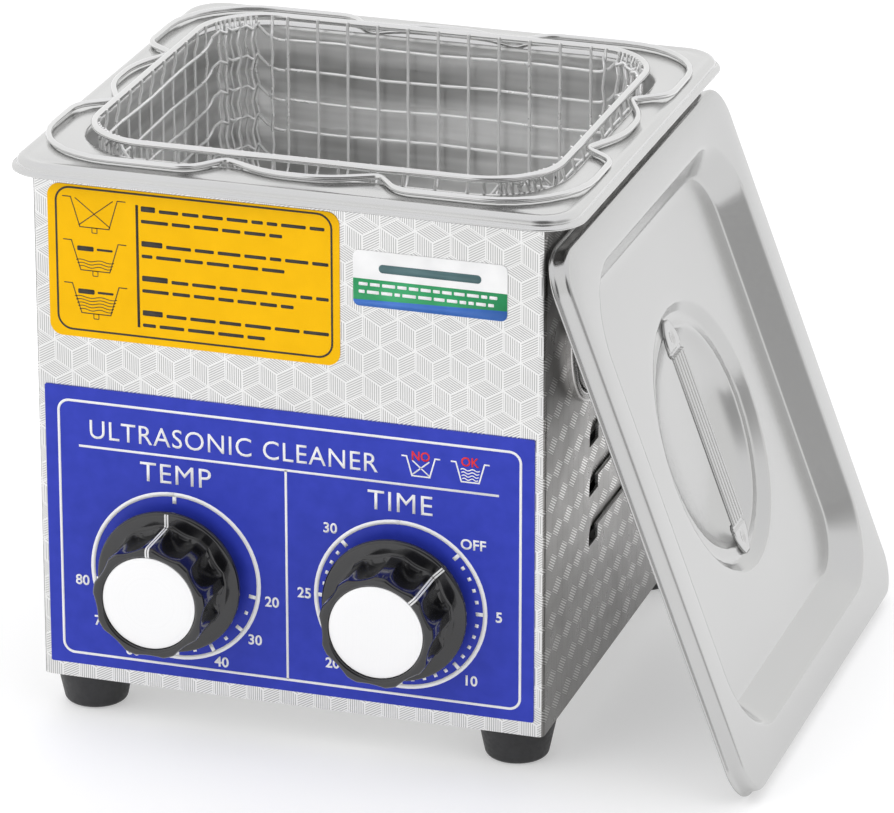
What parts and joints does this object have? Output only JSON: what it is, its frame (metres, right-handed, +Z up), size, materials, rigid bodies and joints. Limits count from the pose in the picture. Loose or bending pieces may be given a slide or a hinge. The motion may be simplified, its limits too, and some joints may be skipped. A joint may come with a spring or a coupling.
{
  "type": "ultrasonic cleaner",
  "caption": "Bench-top ultrasonic cleaner: embossed steel case, heated tank, wire basket, dial knobs, and a lid leaning on its side.",
  "frame": {"origin": "middle of the whole object's footprint, cleaner and leaning lid together, on the surface that the feet and the lid stand on", "axes": "+Z up, -Y towards the user, +X to the user's right, where the lid leans"},
  "size_m": [0.2362, 0.1926, 0.1811],
  "materials": {
    "embossed_steel": "embossed cube pattern, satin",
    "plain_steel": "plain satin sheet",
    "polished_steel": "drawn and polished",
    "seal_rubber": "grey silicone",
    "panel_blue": "printed film",
    "label_yellow": "printed film",
    "sticker_green": "printed film",
    "knob_black": "gloss",
    "cap_silver": "spun satin",
    "pointer_white": "printed line",
    "control_case": "moulded",
    "shaft_steel": "turned",
    "handle_steel": "pressed and polished",
    "head_aluminium": "turned or extruded",
    "piezo_ceramic": "fired",
    "contact_brass": "plain",
    "heater_silicone": "cured silicone",
    "board_green": "solder mask",
    "screw_steel": "plated",
    "black_plastic": "moulded",
    "ferrite": "sintered",
    "coil_copper": "enamelled",
    "capacitor_sleeve": "shrink sleeve",
    "fuse_white": "plain",
    "terminal_green": "moulded",
    "basket_wire": "bright wire",
    "lid_steel": "fine satin",
    "foot_rubber": "moulded"
  },
  "bodies": {
    "cleaner": {"base_plate": "plain_steel", "base_screws": "screw_steel", "board_fuse": "fuse_white", "board_screws": "screw_steel", "board_standoffs": "contact_brass", "bulb_clips": "plain_steel", "control_nuts": "shaft_steel", "control_panel": "panel_blue", "fan_frame": "black_plastic", "fan_screws": "screw_steel", "feet": "foot_rubber", "ferrite_transformer": "ferrite", "foot_nuts": "screw_steel", "foot_screws": "screw_steel", "generator_board": "board_green", "handle_plate_left": "handle_steel", "handle_plate_right": "handle_steel", "handle_rivets": "handle_steel", "heat_sink": "head_aluminium", "heater_pads": "heater_silicone", "housing_wrap": "embossed_steel", "inlet_pins": "contact_brass", "inlet_screws": "screw_steel", "mains_inlet": "black_plastic", "notice_label": "label_yellow", "piezo_rings": "piezo_ceramic", "power_transistors": "black_plastic", "rear_panel": "embossed_steel", "rear_screws": "screw_steel", "sensor_bulb": "contact_brass", "side_sticker": "sticker_green", "smoothing_capacitors": "capacitor_sleeve", "tank": "polished_steel", "tank_seal": "seal_rubber", "terminal_block": "terminal_green", "thermostat_case": "control_case", "timer_case": "control_case", "transducer_bolt": "shaft_steel", "transducer_electrodes": "contact_brass", "transducer_head": "head_aluminium", "transducer_tail": "shaft_steel", "tuning_coil": "coil_copper"},
    "temp_control": {"temp_knob": "knob_black", "temp_knob_cap": "cap_silver", "temp_knob_pointer": "pointer_white", "thermostat_shaft": "shaft_steel"},
    "timer_control": {"timer_knob": "knob_black", "timer_knob_cap": "cap_silver", "timer_knob_pointer": "pointer_white", "timer_shaft": "shaft_steel"},
    "basket": {"basket_rim": "basket_wire", "basket_hanger": "basket_wire", "basket_walls": "basket_wire", "basket_floor": "basket_wire", "basket_corners": "basket_wire"},
    "lid": {"lid_pan": "lid_steel", "lid_handle": "lid_steel"},
    "right_flap": {"handle_flap_right": "handle_steel"},
    "left_flap": {"handle_flap_left": "handle_steel"},
    "fan": {"fan_rotor": "black_plastic"}
  },
  "joints": [
    {"name": "temp_knob_turn", "type": "hinge", "parent": "cleaner", "child": "temp_control", "pos_m": [-0.06576, -0.08048, 0.0496], "axis": [0, 1, 0], "range_deg": [0, 262]},
    {"name": "timer_knob_turn", "type": "hinge", "parent": "cleaner", "child": "timer_control", "pos_m": [0.00564, -0.08048, 0.0496], "axis": [0, 1, 0], "range_deg": [0, 270]},
    {"name": "basket_lift", "type": "slide", "parent": "cleaner", "child": "basket", "axis": [0, 0, 1], "range_m": [0, 0.1]},
    {"name": "lid_away", "type": "slide", "parent": "cleaner", "child": "lid", "axis": [1, 0, 0], "range_m": [0, 0.12]},
    {"name": "right_flap_hinge", "type": "hinge", "parent": "cleaner", "child": "right_flap", "pos_m": [0.05234, 0.00953, 0.1256], "axis": [0, -1, 0], "range_deg": [0, 10]},
    {"name": "left_flap_hinge", "type": "hinge", "parent": "cleaner", "child": "left_flap", "pos_m": [-0.11046, 0.00953, 0.1256], "axis": [0, 1, 0], "range_deg": [0, 90]},
    {"name": "fan_spin", "type": "hinge", "parent": "cleaner", "child": "fan", "pos_m": [0.00894, 0.08453, 0.06], "axis": [0, 1, 0], "continuous": true}
  ]
}
